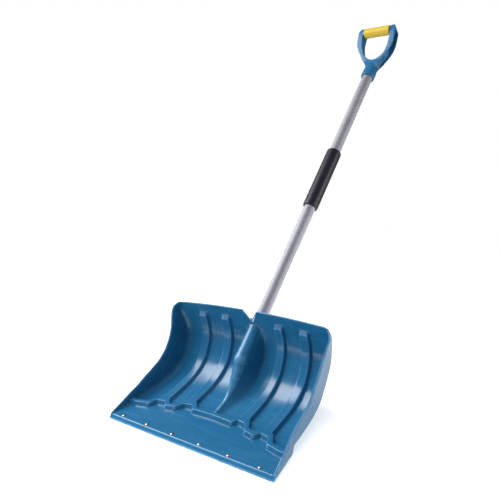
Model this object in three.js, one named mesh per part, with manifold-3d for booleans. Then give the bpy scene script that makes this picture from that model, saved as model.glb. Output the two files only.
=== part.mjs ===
// Snow shovel: moulded scoop blade with a steel wear plate, aluminium shaft,
// foam mid grip and a D-grip with a soft sleeve.
//
// Frame: millimetres, +X to the user's right when facing the hollow side of the
// blade from the front, +Y from the cutting edge towards the user, +Z up. The
// flat sole stands on Z = 0. The origin is the centre of the sole's flat face.
//
// The blade is described in its own side view: v runs back from the ridge of
// the lip and w runs up from the top of the apron. Y = v - V0 and Z = w + W0.

import * as THREE from 'three';
import { mergeVertices } from 'three/addons/utils/BufferGeometryUtils.js';
import Module from 'manifold-3d';

const wasm = await Module();
wasm.setup();

// ---------------------------------------------------------------- dimensions
const GAP = 0.3;                 // clearance between touching pieces

const V0 = 36;                   // v of the origin
const PLATE_T = 1.5;             // wear plate thickness
const LIP_H = 9.2;               // height of the bevelled front lip
const W0 = LIP_H + GAP + PLATE_T; // height of the apron's top above the floor

const SHELL_T = 3.5;             // wall thickness of the moulding
const RIB_H = 9.5;               // height of the stiffening ribs and ledge
const RIB_OUTER_X = 148;         // centre of the outer ribs
const RIB_INNER_X = 78;          // centre of the inner ribs
const FLANGE = 5;                // outward flange of the side rims
const BOW = 8;                   // the top edge's bow, centre behind the ends

const SHAFT_D = 30;              // aluminium tube
const SHAFT_WALL = 1.5;
const SHAFT_ANGLE = 38.5;        // degrees above the floor
const SHAFT_V = -12.0, SHAFT_W = -102.2; // a point of the shaft's axis, station 0
const SHAFT_FROM = 292, SHAFT_TO = 1284;  // stations of its two ends
const SOCKET_R = 19;             // outer radius of the socket
const SOCKET_FROM = 285, SOCKET_TO = 412; // stations of the socket tube
const BOLT_AT = 398;             // station of the cross bolt

const FOAM_FROM = 744.5, FOAM_TO = 940.5, FOAM_D = 41;

const GRIP_FROM = 1240;          // station of the collar's lower rim
const BAR_AT = 1393.6;           // station of the crossbar's centre
const BAR_FORWARD = 45.5;        // crossbar's centre in front of the shaft's axis
const GRIP_DEPTH = [27, 32];     // front to back depth of the grip's arms, low and at the bar
const BAR_D = 21, SLEEVE_D = 29, SLEEVE_L = 82;

const RIVET_X = [-194, -117, -39.3, 39.3, 117, 194];
const RIVET_V = 5.4;

// ------------------------------------------------------------------- helpers
const rad = (d) => d * Math.PI / 180;
const lerp = (a, b, t) => a + (b - a) * t;
const clamp01 = (t) => Math.min(1, Math.max(0, t));
const smooth = (a, b, x) => { const t = clamp01((x - a) / (b - a)); return t * t * (3 - 2 * t); };

// piecewise linear table
function table(xs, ys, x) {
  if (x <= xs[0]) return ys[0];
  const n = xs.length;
  if (x >= xs[n - 1]) return ys[n - 1];
  let i = 0;
  while (x > xs[i + 1]) i++;
  return lerp(ys[i], ys[i + 1], (x - xs[i]) / (xs[i + 1] - xs[i]));
}

// shape-preserving cubic through a table
function cubic(xs, ys) {
  const n = xs.length, d = [], m = new Array(n).fill(0);
  for (let i = 0; i < n - 1; i++) d.push((ys[i + 1] - ys[i]) / (xs[i + 1] - xs[i]));
  m[0] = d[0]; m[n - 1] = d[n - 2];
  for (let i = 1; i < n - 1; i++) {
    if (d[i - 1] * d[i] <= 0) { m[i] = 0; continue; }
    const h0 = xs[i] - xs[i - 1], h1 = xs[i + 1] - xs[i];
    const w0 = 2 * h1 + h0, w1 = h1 + 2 * h0;
    m[i] = (w0 + w1) / (w0 / d[i - 1] + w1 / d[i]);
  }
  return (x) => {
    if (x <= xs[0]) return ys[0] + m[0] * (x - xs[0]);
    if (x >= xs[n - 1]) return ys[n - 1] + m[n - 1] * (x - xs[n - 1]);
    let i = 0;
    while (x > xs[i + 1]) i++;
    const h = xs[i + 1] - xs[i], t = (x - xs[i]) / h, t2 = t * t, t3 = t2 * t;
    return ys[i] * (2 * t3 - 3 * t2 + 1) + m[i] * h * (t3 - 2 * t2 + t)
      + ys[i + 1] * (-2 * t3 + 3 * t2) + m[i + 1] * h * (t3 - t2);
  };
}

function toSolid(geometry) {
  let g = geometry.clone();
  for (const name of Object.keys(g.attributes)) if (name !== 'position') g.deleteAttribute(name);
  g = mergeVertices(g, 1e-4);
  const solid = new wasm.Manifold(new wasm.Mesh({
    numProp: 3,
    vertProperties: Float32Array.from(g.attributes.position.array),
    triVerts: Uint32Array.from(g.index.array),
  }));
  return solid;
}

function toGeometry(solid) {
  const mesh = solid.getMesh();
  const g = new THREE.BufferGeometry();
  const p = new Float32Array(mesh.numVert * 3);
  for (let i = 0; i < mesh.numVert; i++) for (let k = 0; k < 3; k++) p[3 * i + k] = mesh.vertProperties[mesh.numProp * i + k];
  g.setAttribute('position', new THREE.BufferAttribute(p, 3));
  g.setIndex(new THREE.BufferAttribute(Uint32Array.from(mesh.triVerts), 1));
  g.computeVertexNormals();
  return g;
}

// keeps the largest connected surface, so slivers and filled pockets drop out
function outerSkin(geometry) {
  const index = geometry.index.array, pos = geometry.attributes.position.array;
  const parent = Array.from({ length: pos.length / 3 }, (_, i) => i);
  const find = (i) => { while (parent[i] !== i) { parent[i] = parent[parent[i]]; i = parent[i]; } return i; };
  for (let i = 0; i < index.length; i += 3) { parent[find(index[i])] = find(index[i + 1]); parent[find(index[i + 1])] = find(index[i + 2]); }
  const count = new Map();
  for (let i = 0; i < index.length; i += 3) count.set(find(index[i]), (count.get(find(index[i])) ?? 0) + 1);
  const best = [...count.entries()].sort((a, b) => b[1] - a[1])[0][0];
  const kept = [];
  for (let i = 0; i < index.length; i += 3) if (find(index[i]) === best) kept.push(index[i], index[i + 1], index[i + 2]);
  geometry.setIndex(kept);
  return geometry;
}

// a solid of revolution about +Z from a closed [radius, z] profile
function lathe(profile, segments) {
  const g = new THREE.LatheGeometry(profile.map(([r, z]) => new THREE.Vector2(r, z)), segments);
  g.rotateX(Math.PI / 2);
  return g;
}
// a rod or ring about +Z
const rod = (r, z0, z1, seg = 24) => lathe([[0, z0], [r, z0], [r, z1], [0, z1]], seg);

// places a geometry whose +Z runs along the shaft, with its +Y to the back
const axisV = Math.cos(rad(SHAFT_ANGLE)), axisW = Math.sin(rad(SHAFT_ANGLE));
function shaftMatrix(station) {
  const m = new THREE.Matrix4().makeRotationX(rad(SHAFT_ANGLE - 90));
  m.setPosition(0, SHAFT_V + axisV * station - V0, SHAFT_W + axisW * station + W0);
  return m;
}

// --------------------------------------------------------------- blade shape
// Side view of the hollow face at mid width, and for the same stations the
// rim of the side wall (rv, rw, rx) and the foot of the side wall (fx).
const PROFILE = [
  // v,     w,     rv,    rw,    rx,    fx
  [0, 0, 0, 2, 232, 229],
  [40, 0, 36, 16.5, 227.5, 223],
  [80, 0, 65, 29, 223.5, 217],
  [95, 0.2, 75, 32.5, 222, 215.5],
  [110, 1.2, 84, 36.5, 221.2, 214.5],
  [131, 4, 97, 42, 220.5, 213],
  [155, 7.6, 112, 47.5, 220.4, 211],
  [176, 11.6, 126, 52.5, 220.3, 209.5],
  [193, 16.4, 140, 58, 219.8, 208.5],
  [211.5, 23.5, 154, 64, 219, 207.5],
  [227, 32, 167, 73, 218, 207],
  [240, 42, 178, 82, 217.4, 206],
  [251, 53.5, 187, 91, 217.4, 206.5],
  [260, 66.5, 196, 101, 217.8, 207.5],
  [268.5, 81, 204, 111, 218.8, 209],
  [274, 96.5, 211, 121.5, 219.8, 211],
  [276.6, 112, 217, 131, 221.5, 213],
  [276.6, 127, 221.5, 140, 223, 215],
  [274.6, 144, 227, 153, 225.6, 218],
  [270.3, 165.5, 236, 167, 228.6, 220],
  [267.6, 176, 241.5, 176, 227, 217],
  [264, 188, 251.5, 184.2, 217, 207.5],
];
const S = [0];
for (let i = 1; i < PROFILE.length; i++) S.push(S[i - 1] + Math.hypot(PROFILE[i][0] - PROFILE[i - 1][0], PROFILE[i][1] - PROFILE[i - 1][1]));
const S_TOP = S[S.length - 1];
const col = (k) => cubic(S, PROFILE.map((r) => r[k]));
const pv = col(0), pw = col(1), rimV = col(2), rimW = col(3), rimX = col(4), footX = col(5);
const sOfW = (w) => { let a = 150, b = S_TOP; for (let i = 0; i < 40; i++) { const m = (a + b) / 2; if (pw(m) < w) a = m; else b = m; } return a; };

// the panel's point and its normal (towards the hollow side) at station s
function panel(s, x) {
  const q = (x / 205) ** 2;
  const up = smooth(150, 290, s);
  return [pv(s) - BOW * q * up, pw(s) - 4 * q * smooth(S_TOP - 60, S_TOP, s)];
}
function panelNormal(s) {
  const e = 0.5, dv = pv(s + e) - pv(s - e), dw = pw(s + e) - pw(s - e), l = Math.hypot(dv, dw);
  return [-dw / l, dv / l];
}

// stepped ledge across the blade: edges in plan, as v against |x|
const LEDGE_FRONT_TOP = [[0, 56, 67, 87, 101, 127, 139, 160, 171, 222], [92.7, 89.8, 102.4, 98.8, 78.7, 73, 86, 81.8, 62, 50.5]];
const LEDGE_FRONT_FOOT = [[0, 56, 67, 87, 101, 127, 139, 160, 171, 222], [87.5, 84.5, 97.2, 94, 73.5, 68.5, 80.8, 77, 57, 45.7]];
const LEDGE_BACK_TOP = [[0, 50, 64, 92, 105, 123, 135, 163, 180, 222], [102.7, 100.5, 115.5, 112, 89.5, 84.5, 99, 95.5, 70.5, 59.5]];
const LEDGE_BACK_FOOT = [[0, 50, 64, 92, 105, 123, 135, 163, 180, 222], [106.7, 104.5, 119.5, 116, 93.5, 88.5, 103, 99.5, 74.5, 63.5]];

// crest of the centre hump that carries the shaft, against the panel station
const CREST = [
  [110, 9.5, 108, 6], [131, 12.5, 121.5, 7], [155, 19, 141.5, 8], [176, 26, 153.5, 9.5], [193, 35.5, 163, 11],
  [211.5, 45.5, 172, 13], [227, 56.5, 180, 15], [240, 67.5, 187, 17], [251, 79, 194, 18.4], [260, 93.1, 200.6, 19],
  [268.5, 103, 213, 19], [274, 113.3, 226, 19], [276.6, 124.4, 240, 19], [276.7, 135.6, 254, 19], [274.6, 145.9, 267, 19], [273.6, 152, 274.6, 19],
];
const CREST_S = CREST.map((r) => S_of_v_index(r[0], r[1]));
function S_of_v_index(v, w) {
  // station of the panel point that the crest row belongs to
  let best = 0, bd = 1e9;
  for (let s = 90; s < S_TOP; s += 0.5) {
    const up = s > 330;
    const d = Math.abs(pv(s) - v) + (v > 270 ? Math.abs(pw(s) - (w < 112 ? 88 : w < 118 ? 96.5 : w < 130 ? 112 : w < 140 ? 127 : w < 150 ? 144 : 150.5)) : 0);
    if (d < bd) { bd = d; best = s; }
  }
  return best;
}
const crestV = cubic(CREST_S, CREST.map((r) => r[2]));
const crestW = cubic(CREST_S, CREST.map((r) => r[1]));
const crestR = cubic(CREST_S, CREST.map((r) => r[3]));
const HUMP_LO = CREST_S[0], HUMP_HI = CREST_S[CREST_S.length - 1];
const humpFoot = (s) => table([HUMP_LO, 165, 230, 290, 340, 372], [20, 25, 30, 30, 26, 22], s);

// notch in the middle of the top edge
const NOTCH_X = 21, NOTCH_FLAT = 4;
const S_NOTCH = sOfW(156);
const topStation = (x) => {
  const a = Math.abs(x);
  if (a >= NOTCH_X) return S_TOP;
  return lerp(S_NOTCH, S_TOP, clamp01((a - NOTCH_FLAT) / (NOTCH_X - NOTCH_FLAT)));
};

// ---- columns across half the blade
// hump: th = angle round the socket's crown, k = 0 crown .. 1 foot of its flank
// panel: x, rib = 1 on a rib's top; wall: t = 0 panel side .. 1 rim
const COLUMNS = [
  { hump: 0, th: 0, x: 0 }, { hump: 0, th: 28, x: 8.9 }, { hump: 0, th: 52, x: 15 }, { hump: 0, th: 76, x: 18.4 },
  { hump: 0.5, x: 24 }, { hump: 1, x: 30 },
  { x: 56 }, { x: 64 }, { x: 68, rib: 1 }, { x: 88, rib: 1 }, { x: 92 }, { x: 102 }, { x: 127 },
  { x: 134 }, { x: 138, rib: 1 }, { x: 158, rib: 1 }, { x: 162 }, { x: 171 },
  { wall: 0 }, { wall: 0.12 }, { wall: 0.3 }, { wall: 0.62 }, { wall: 1 }, { flange: 1 },
];

// rows from the lip to the top edge; kind says what the row follows
const ROWS = [
  { kind: 'lip' }, { kind: 's', s: 0 }, { kind: 's', s: 24 },
  { kind: 'front_foot' }, { kind: 'front_top' }, { kind: 'back_top' }, { kind: 'back_foot' },
  ...[0.07, 0.16, 0.26, 0.36, 0.45, 0.54, 0.63, 0.72, 0.81, 0.9].map((f) => ({ kind: 'f', f })),
  { kind: 'rib_end', rib: 1 }, { kind: 'rib_end', f: 1 }, { kind: 'top' },
];
const RIB_END0 = sOfW(156), RIB_END1 = sOfW(165);

function stationOf(row, x) {
  const a = Math.abs(x);
  const limit = topStation(x);
  switch (row.kind) {
    case 'lip': return -1;
    case 's': return row.s;
    case 'front_foot': return table(...LEDGE_FRONT_FOOT, a);
    case 'front_top': return table(...LEDGE_FRONT_TOP, a);
    case 'back_top': return table(...LEDGE_BACK_TOP, a);
    case 'back_foot': return table(...LEDGE_BACK_FOOT, a);
    case 'f': return lerp(table(...LEDGE_BACK_FOOT, a), Math.min(RIB_END0, limit - 14), row.f);
    case 'rib_end': return row.f ? Math.min(RIB_END1, limit - 4) : Math.min(RIB_END0, limit - 9);
    case 'top': return limit;
  }
  return 0;
}
const ledgeOf = (row) => (row.kind === 'front_top' || row.kind === 'back_top') ? 1 : 0;
const ribOf = (row) => (row.kind === 'front_top' || row.kind === 'back_top' || row.kind === 'back_foot' || row.kind === 'f' || (row.kind === 'rib_end' && row.rib)) ? 1 : 0;

// one grid point; back = false for the hollow face, true for the outer face
function bladePoint(row, c, back) {
  const inset = back ? 2.2 : 0;
  const t = back ? SHELL_T : 0;
  let x = c.x ?? 0;
  if (c.rib || [64, 134].includes(c.x)) x += (c.x < (c.x < 110 ? RIB_INNER_X : RIB_OUTER_X) ? inset : -inset);
  if ([92, 162].includes(c.x)) x -= inset;
  const isWall = c.wall !== undefined || c.flange;
  let s = stationOf(row, isWall ? 200 : (c.x ?? 0));

  if (row.kind === 'lip') {
    // the bottom edge of the bevel
    if (isWall) x = lerp(footX(0) - 6, 233.5, c.flange ? 1 : c.wall * 0.96);
    return [x, back ? -6.2 : -7.6, -LIP_H + (back ? 0 : 0.8)];
  }
  if (!isWall) {
    const [v, w] = panel(s, x);
    const n = panelNormal(s);
    let h = ledgeOf(row) ? RIB_H : (ribOf(row) && c.rib ? RIB_H : 0);
    if (c.hump !== undefined && s > HUMP_LO) {
      // the hump stands in front of the panel; whichever is further forward wins
      const R = crestR(s) - (back ? SHELL_T - 0.4 : 0);
      const cv = crestV(s), cw = crestW(s);
      const nv = -axisW, nw = axisV;                 // away from the shaft, to the front
      const fall = s < CREST_S[9] ? (R < 18.5 ? 0.75 : 1) : 1;
      const capX = R * Math.sin(rad(76)), capD = R * (1 - Math.cos(rad(76))) * fall + (back ? SHELL_T - 0.4 : 0);
      const foot = humpFoot(s) - (back ? 3 : 0);
      let px, qv, qw;
      if (c.hump === 0) {
        const d = R * (1 - Math.cos(rad(c.th))) * fall + (back ? SHELL_T - 0.4 : 0);
        px = R * Math.sin(rad(c.th));
        qv = cv - nv * d; qw = cw - nw * d;
      } else {
        px = lerp(capX, foot, c.hump);
        const ev = cv - nv * capD, ew = cw - nw * capD;
        qv = lerp(ev, v - n[0] * t, c.hump); qw = lerp(ew, w - n[1] * t, c.hump);
      }
      const f = (qv - v) * n[0] + (qw - w) * n[1];
      if (s < HUMP_HI && f > -t && c.hump < 1) return [px, qv, qw];
      if (s < HUMP_HI) x = lerp(px, x, smooth(HUMP_HI - 40, HUMP_HI, s));
    }
    let zb = w + n[1] * (h - t), vb = v + n[0] * (h - t);
    if (back) { const k = smooth(79, 93, s); zb = lerp(-LIP_H, zb, k); vb = lerp(v, vb, k); }
    return [x, vb, zb];
  }
  // side wall: a fan from the panel's edge to the rim
  const fx = footX(s), rx = rimX(s) - FLANGE / 2, rv = rimV(s), rw = rimW(s);
  const [v, w] = panel(s, fx);
  const H = Math.hypot(rx - fx, rv - v, rw - w);
  const rf = Math.min(22, 0.42 * H);
  const dir = [(rx - fx) / H, (rv - v) / H, (rw - w) / H];
  const A = [fx - rf, ...panel(s, fx - rf)];
  const F = [fx, v, w];
  const C = [fx + dir[0] * rf, v + dir[1] * rf, w + dir[2] * rf];
  const bez = (k) => [0, 1, 2].map((i) => (1 - k) ** 2 * A[i] + 2 * k * (1 - k) * F[i] + k * k * C[i]);
  const E = [rx, rv, rw];
  let p, tau;
  if (c.flange) { p = [rx + FLANGE, rv, rw - 0.6]; tau = 1; }
  else if (c.wall <= 0.3) { p = bez(c.wall / 0.3); tau = c.wall / 0.3 * 0.4; }
  else { const k = (c.wall - 0.3) / 0.7; p = [0, 1, 2].map((i) => lerp(C[i], E[i], k)); tau = lerp(0.4, 1, k); }
  const n = panelNormal(s);
  if (!back) {
    if (ledgeOf(row) && c.wall !== undefined) {
      const h = RIB_H * clamp01(1 - c.wall / 0.5);
      p = [p[0] + 0, p[1] + n[0] * h, p[2] + n[1] * h];
    }
    return p;
  }
  // outer face: outwards on the wall, down or back on the panel side
    const on = clamp01(tau / 0.4);
  let q = [p[0] + SHELL_T * on, p[1] - n[0] * t * (1 - on * 0.55), p[2] - n[1] * t * (1 - on * 0.55)];
  if (c.flange) q = [p[0] + 0.4, p[1] - dir[1] * t, p[2] - dir[2] * t];
  else if (c.wall === 1) q = [p[0] + SHELL_T, p[1] - dir[1] * (t + 0.4), p[2] - dir[2] * (t + 0.4)];
  const k = smooth(79, 93, s);
  const low = lerp(-LIP_H, q[2], tau * tau);
  q[2] = lerp(low, q[2], k);
  if (k < 1) q[1] = lerp(lerp(p[1], q[1], tau), q[1], k);
  return q;
}

function bladeGeometry() {
  const cols = [];
  for (let i = COLUMNS.length - 1; i > 0; i--) cols.push([COLUMNS[i], -1]);
  for (let i = 0; i < COLUMNS.length; i++) cols.push([COLUMNS[i], 1]);
  const nr = ROWS.length, nc = cols.length, pts = [];
  for (const back of [false, true]) for (const row of ROWS) for (const [c, sg] of cols) {
    const [x, v, w] = bladePoint(row, c, back);
    pts.push(sg * x, v - V0, w + W0);
  }
  const id = (b, r, c) => (b * nr + r) * nc + c;
  const tri = [];
  const quad = (a, b, c, d) => { tri.push(a, b, c, a, c, d); };
  for (let r = 0; r < nr - 1; r++) for (let c = 0; c < nc - 1; c++) {
    if (c < (nc - 1) / 2) {
      quad(id(0, r, c), id(0, r, c + 1), id(0, r + 1, c + 1), id(0, r + 1, c));
      quad(id(1, r, c), id(1, r + 1, c), id(1, r + 1, c + 1), id(1, r, c + 1));
    } else {
      quad(id(0, r, c + 1), id(0, r + 1, c + 1), id(0, r + 1, c), id(0, r, c));
      quad(id(1, r, c + 1), id(1, r, c), id(1, r + 1, c), id(1, r + 1, c + 1));
    }
  }
  for (let c = 0; c < nc - 1; c++) {
    quad(id(0, 0, c + 1), id(0, 0, c), id(1, 0, c), id(1, 0, c + 1));
    quad(id(0, nr - 1, c), id(0, nr - 1, c + 1), id(1, nr - 1, c + 1), id(1, nr - 1, c));
  }
  for (let r = 0; r < nr - 1; r++) {
    quad(id(0, r, 0), id(0, r + 1, 0), id(1, r + 1, 0), id(1, r, 0));
    quad(id(0, r + 1, nc - 1), id(0, r, nc - 1), id(1, r, nc - 1), id(1, r + 1, nc - 1));
  }
  const g = new THREE.BufferGeometry();
  g.setAttribute('position', new THREE.BufferAttribute(new Float32Array(pts), 3));
  g.setIndex(tri);
  return g;
}

function makeBlade() {
  let solid = toSolid(bladeGeometry());
  const boss = rod(SOCKET_R - 0.5, SOCKET_FROM, SOCKET_TO, 32);
  boss.applyMatrix4(shaftMatrix(0));
  solid = solid.add(toSolid(boss));
  const bore = rod(SHAFT_D / 2 + GAP, SHAFT_FROM - GAP, SOCKET_TO + 5, 32);
  bore.applyMatrix4(shaftMatrix(0));
  solid = solid.subtract(toSolid(bore));
  const cross = rod(3 + GAP, -30, 30, 14);
  cross.rotateY(Math.PI / 2);
  cross.applyMatrix4(shaftMatrix(BOLT_AT));
  solid = solid.subtract(toSolid(cross));
  for (const x of RIVET_X) {
    const hole = rod(2 + GAP, -20, 20, 12);
    hole.translate(x, RIVET_V - V0, W0);
    solid = solid.subtract(toSolid(hole));
  }
  return outerSkin(toGeometry(solid));
}

// ---------------------------------------------------------------- wear plate
function makePlate() {
  const sh = new THREE.Shape();
  const f = -8.1 - V0, b = 80 - V0, xf = 224, xb = 220, r = 9;
  sh.moveTo(-xf + 2, f); sh.lineTo(xf - 2, f); sh.lineTo(xf, f + 2);
  sh.lineTo(xb, b - r); sh.absarc(xb - r, b - r, r, 0, Math.PI / 2, false);
  sh.lineTo(-xb + r, b); sh.absarc(-xb + r, b - r, r, Math.PI / 2, Math.PI, false);
  sh.lineTo(-xf, f + 2); sh.closePath();
  const g = new THREE.ExtrudeGeometry(sh, { depth: PLATE_T, bevelEnabled: false, curveSegments: 5 });
  let solid = toSolid(g);
  for (const x of RIVET_X) {
    const cut = lathe([[0, -1], [4.2 + GAP, -1], [4.2 + GAP, 0.05], [2 + GAP, 1.3], [2 + GAP, 5], [0, 5]], 12);
    cut.translate(x, RIVET_V - V0, 0);
    solid = solid.subtract(toSolid(cut));
  }
  return toGeometry(solid);
}

// a rivet: domed head on the apron, shank, tail set flush in the plate
function makeRivet() {
  const top = W0 + GAP;
  return lathe([[0, 0], [4.1, 0], [2, 1.25], [2, top], [3.6, top], [3.5, top + 0.8], [2.9, top + 1.7], [1.7, top + 2.4], [0, top + 2.7]], 12);
}

// --------------------------------------------------------------------- shaft
const ring = (ro, ri, z0, z1, seg) => lathe([[ri, z0], [ro, z0], [ro, z1], [ri, z1], [ri, z0]], seg);
function makeShaft() {
  let solid = toSolid(ring(SHAFT_D / 2, SHAFT_D / 2 - SHAFT_WALL, SHAFT_FROM, SHAFT_TO, 32));
  for (const [station, r] of [[BOLT_AT, 3 + GAP]]) {
    const cut = rod(r, -30, 30, 14);
    cut.rotateY(Math.PI / 2);
    cut.translate(0, 0, station);
    solid = solid.subtract(toSolid(cut));
  }
  const hole = rod(2 + GAP, 0, 30, 12);
  hole.rotateX(-Math.PI / 2);
  hole.translate(0, 0, GRIP_FROM + 22);
  solid = solid.subtract(toSolid(hole));
  const g = toGeometry(solid);
  g.applyMatrix4(shaftMatrix(0));
  return g;
}

function makeFoam() {
  const ro = FOAM_D / 2, ri = SHAFT_D / 2 + GAP;
  const g = lathe([[ri, FOAM_FROM], [ro - 4, FOAM_FROM], [ro - 1.4, FOAM_FROM + 1.5], [ro, FOAM_FROM + 5],
    [ro, FOAM_TO - 5], [ro - 1.4, FOAM_TO - 1.5], [ro - 4, FOAM_TO], [ri, FOAM_TO], [ri, FOAM_FROM]], 28);
  g.applyMatrix4(shaftMatrix(0));
  return g;
}

// -------------------------------------------------------------------- D-grip
// Drawn in the shaft's frame: x across, t the station, q behind the axis.
const gripOuter = (t) => table([1262, 1278, 1290, 1298, 1305, 1312, 1320, 1330, 1340, 1350, 1360, 1372, 1384, 1392, 1399, 1405, 1409, 1411],
  [12, 15.2, 20.4, 25.2, 30.2, 35.2, 41.2, 48.8, 54.9, 59.1, 61.2, 61.6, 61.2, 60.6, 58.8, 55.4, 51, 46.5], t);
const openHalf = (t) => table([1305.5, 1307, 1310, 1314.5, 1321, 1330, 1342, 1357, 1371, 1386], [0, 8, 15, 21.5, 28, 34, 39, 42.3, 43.6, 43.8], t);
const innerWall = (t) => table([1293, 1304, 1312, 1320, 1330, 1342, 1357, 1372, 1396], [17.5, 21.5, 26.8, 33.2, 39.6, 44.6, 47.9, 49.2, 49.4], t);
// how far the arms' middle stands behind the shaft's axis
const GRIP_Q = [[1240, 1290, 1305, 1320, 1340, 1360, 1380, 1392, 1410], [0, 0, -1.8, -7, -16.4, -27, -34.8, -38.2, -40.2]];
const gripHalf = (t) => GRIP_DEPTH[0] / 2 + (GRIP_DEPTH[1] - GRIP_DEPTH[0]) / 2 * smooth(1350, 1390, t);
// a flat outline in x and t, extruded through q
function gripSlab(outline, q0, q1) {
  const sh = new THREE.Shape(outline.map(([x, t]) => new THREE.Vector2(x, t)));
  const g = new THREE.ExtrudeGeometry(sh, { depth: q1 - q0, bevelEnabled: false });
  g.rotateX(Math.PI / 2);
  g.translate(0, q1, 0);
  return toSolid(g);
}
// a band in t and q that follows the arms' bend, extruded across x
function gripBand(inset, t0, t1) {
  const ts = [t0, ...GRIP_Q[0].filter((t) => t > t0 && t < t1 - 8), t1];
  const line = (sg) => ts.map((t) => [table(...GRIP_Q, t) + sg * (gripHalf(t) - inset), t === t1 ? t + 3 * sg : t]);
  const sh = new THREE.Shape([...line(-1), ...line(1).reverse()].map(([q, t]) => new THREE.Vector2(q, t)));
  const g = new THREE.ExtrudeGeometry(sh, { depth: 160, bevelEnabled: false });
  g.rotateX(Math.PI / 2);          // outline in x and z, depth along -y
  g.rotateZ(Math.PI / 2);          // now q along y and the depth along x
  g.translate(-80, 0, 0);
  return toSolid(g);
}
function makeGrip() {
  const mirror = (pts) => [...pts, ...pts.slice().reverse().map(([x, t]) => [-x, t])];
  const ts = [1262, 1278, 1290, 1298, 1305, 1312, 1320, 1330, 1340, 1350, 1360, 1372, 1384, 1392, 1399, 1405, 1409, 1411];
  let solid = gripSlab(mirror(ts.map((t) => [gripOuter(t), t])), -80, 40).intersect(gripBand(0, 1264, 1408));
  const os = [1307, 1310, 1314.5, 1321, 1330, 1342, 1357, 1371, 1386];
  const half = [...os.map((t) => [openHalf(t), t]), [43.8, 1450]];
  solid = solid.subtract(gripSlab([[0, 1305.5], ...half, ...half.slice().reverse().map(([x, t]) => [-x, t])], -100, 60));
  // hollow arms, open to the outside
  const hs = [1293, 1304, 1312, 1320, 1330, 1342, 1357, 1372, 1396];
  const hollow = gripBand(3.2, 1288, 1398);
  for (const sg of [-1, 1]) {
    const cut = [...hs.map((t) => [sg * innerWall(t), t]), [sg * 51, 1398], [sg * 78, 1398], [sg * 78, 1288]];
    if (sg < 0) cut.reverse();
    solid = solid.subtract(gripSlab(cut, -90, 50).intersect(hollow));
  }
  // crossbar
  const bar = rod(BAR_D / 2, -47, 47, 24);
  bar.rotateY(Math.PI / 2);
  bar.translate(0, -BAR_FORWARD, BAR_AT);
  solid = solid.add(toSolid(bar));
  // round collar on the shaft, blending into the yoke
  solid = solid.add(toSolid(lathe([[0, GRIP_FROM], [19.9, GRIP_FROM], [20.4, GRIP_FROM + 1.5], [20.4, GRIP_FROM + 14], [19.8, GRIP_FROM + 30], [17.5, GRIP_FROM + 46], [12, GRIP_FROM + 55], [0, GRIP_FROM + 57]], 32)));
  solid = solid.subtract(toSolid(rod(SHAFT_D / 2 + GAP, GRIP_FROM - 20, SHAFT_TO + GAP, 32)));
  const hole = rod(2 + GAP, 0, 40, 12);
  hole.rotateX(-Math.PI / 2);
  hole.translate(0, 0, GRIP_FROM + 22);
  solid = solid.subtract(toSolid(hole));
  const g = toGeometry(solid);
  g.applyMatrix4(shaftMatrix(0));
  return g;
}
function makeSleeve() {
  const ro = SLEEVE_D / 2, ri = BAR_D / 2 + GAP, h = SLEEVE_L / 2;
  const g = lathe([[ri, -h], [ro - 1.5, -h], [ro, -h + 1.5], [ro, h - 1.5], [ro - 1.5, h], [ri, h], [ri, -h]], 28);
  g.rotateY(Math.PI / 2);
  g.translate(0, -BAR_FORWARD, BAR_AT);
  g.applyMatrix4(shaftMatrix(0));
  return g;
}

// ------------------------------------------------------------------ hardware
function across(g) {           // turns a part about +Z to lie along +X at the cross bolt
  g.rotateY(Math.PI / 2);
  g.applyMatrix4(shaftMatrix(BOLT_AT));
  return g;
}
const SEAT = SOCKET_R - 0.5;
const makeWasher = (x0) => across(ring(7, 3 + GAP, x0, x0 + 1.4, 20));
const makeBolt = () => across(lathe([[0, -SEAT - 7.9], [3, -SEAT - 7.9], [3, SEAT + 2.1], [6.2, SEAT + 2.1], [6, SEAT + 4.2], [4.4, SEAT + 5.6], [0, SEAT + 6.2]], 20));
function makeNut() {
  const hex = new THREE.CylinderGeometry(5.8, 5.8, 5, 6);
  hex.rotateX(Math.PI / 2);
  hex.translate(0, 0, -SEAT - 2.1 - 2.5);
  const solid = toSolid(hex).subtract(toSolid(rod(3 + GAP, -60, 60, 16)));
  return across(toGeometry(solid));
}
function makeGripScrew() {
  // self-tapping screw through the back of the collar into the shaft
  const r0 = 20.4 + GAP;
  const g = lathe([[0, r0 - 10], [1.2, r0 - 9], [2, r0 - 7], [2, r0], [3.9, r0], [3.7, r0 + 1.2], [2.5, r0 + 2.2], [0, r0 + 2.5]], 14);
  g.rotateX(-Math.PI / 2);
  g.applyMatrix4(shaftMatrix(GRIP_FROM + 22));
  return g;
}

// ---------------------------------------------------------------------- scene
const shovel = new THREE.Group();
function add(name, geometry, color, roughness, metalness) {
  const material = new THREE.MeshStandardMaterial({ color, roughness, metalness });
  const mesh = new THREE.Mesh(geometry, material);
  mesh.name = name;
  shovel.add(mesh);
  return mesh;
}
const BLUE = 0x246691, YELLOW = 0xe3be3c, BLACK = 0x2b2b30, ALU = 0xc3c6cd, STEEL = 0xb9bcc2, ZINC = 0xc9ccd0;

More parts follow.
